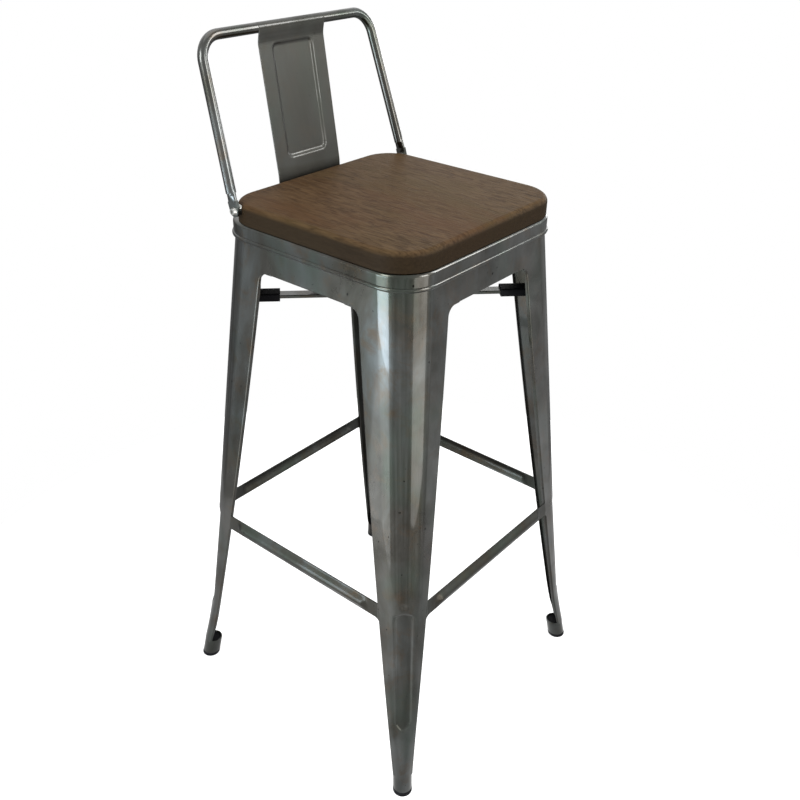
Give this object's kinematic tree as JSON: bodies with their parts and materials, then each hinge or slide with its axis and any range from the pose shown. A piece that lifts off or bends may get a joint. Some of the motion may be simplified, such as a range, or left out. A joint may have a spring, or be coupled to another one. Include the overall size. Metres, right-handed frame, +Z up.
{
  "type": "bar stool with footrest and low back",
  "caption": "Square bar stool: splayed sheet-metal legs joined by a footrest ring, a round-cornered wooden seat and a low bent-tube back with a central splat.",
  "frame": {"origin": "on the floor, under the middle of the four feet", "axes": "+Z up, +X to the sitter's left-hand side seen from the front (right in a front view), -Y the stool's front, the backrest on the +Y side"},
  "size_m": [0.4316, 0.4316, 0.9516],
  "materials": {
    "gunmetal": "clear-coated dark gunmetal steel, glossy, slightly mottled",
    "seat_wood": "dark brown stained hardwood, satin lacquer, grain front to back",
    "rubber": "matt black",
    "zinc_steel": "bright zinc-plated fasteners",
    "insert_brass": "turned brass"
  },
  "bodies": {
    "root": {"apron_front": "gunmetal", "apron_left": "gunmetal", "apron_rear": "gunmetal", "apron_right": "gunmetal", "back_splat": "gunmetal", "backrest_bolts": "zinc_steel", "backrest_inserts": "insert_brass", "backrest_spacers": "zinc_steel", "backrest_tube": "gunmetal", "brace_front_rear": "gunmetal", "brace_left_right": "gunmetal", "foot_front_left": "rubber", "foot_front_right": "rubber", "foot_rear_left": "rubber", "foot_rear_right": "rubber", "footrest_front": "gunmetal", "footrest_left": "gunmetal", "footrest_rear": "gunmetal", "footrest_right": "gunmetal", "leg_front_left": "gunmetal", "leg_front_right": "gunmetal", "leg_rear_left": "gunmetal", "leg_rear_right": "gunmetal", "pad_front_left": "rubber", "pad_front_right": "rubber", "pad_rear_left": "rubber", "pad_rear_right": "rubber", "seat_frame": "gunmetal", "seat_screws": "zinc_steel", "splat_screws": "zinc_steel", "wood_seat": "seat_wood"}
  },
  "joints": []
}
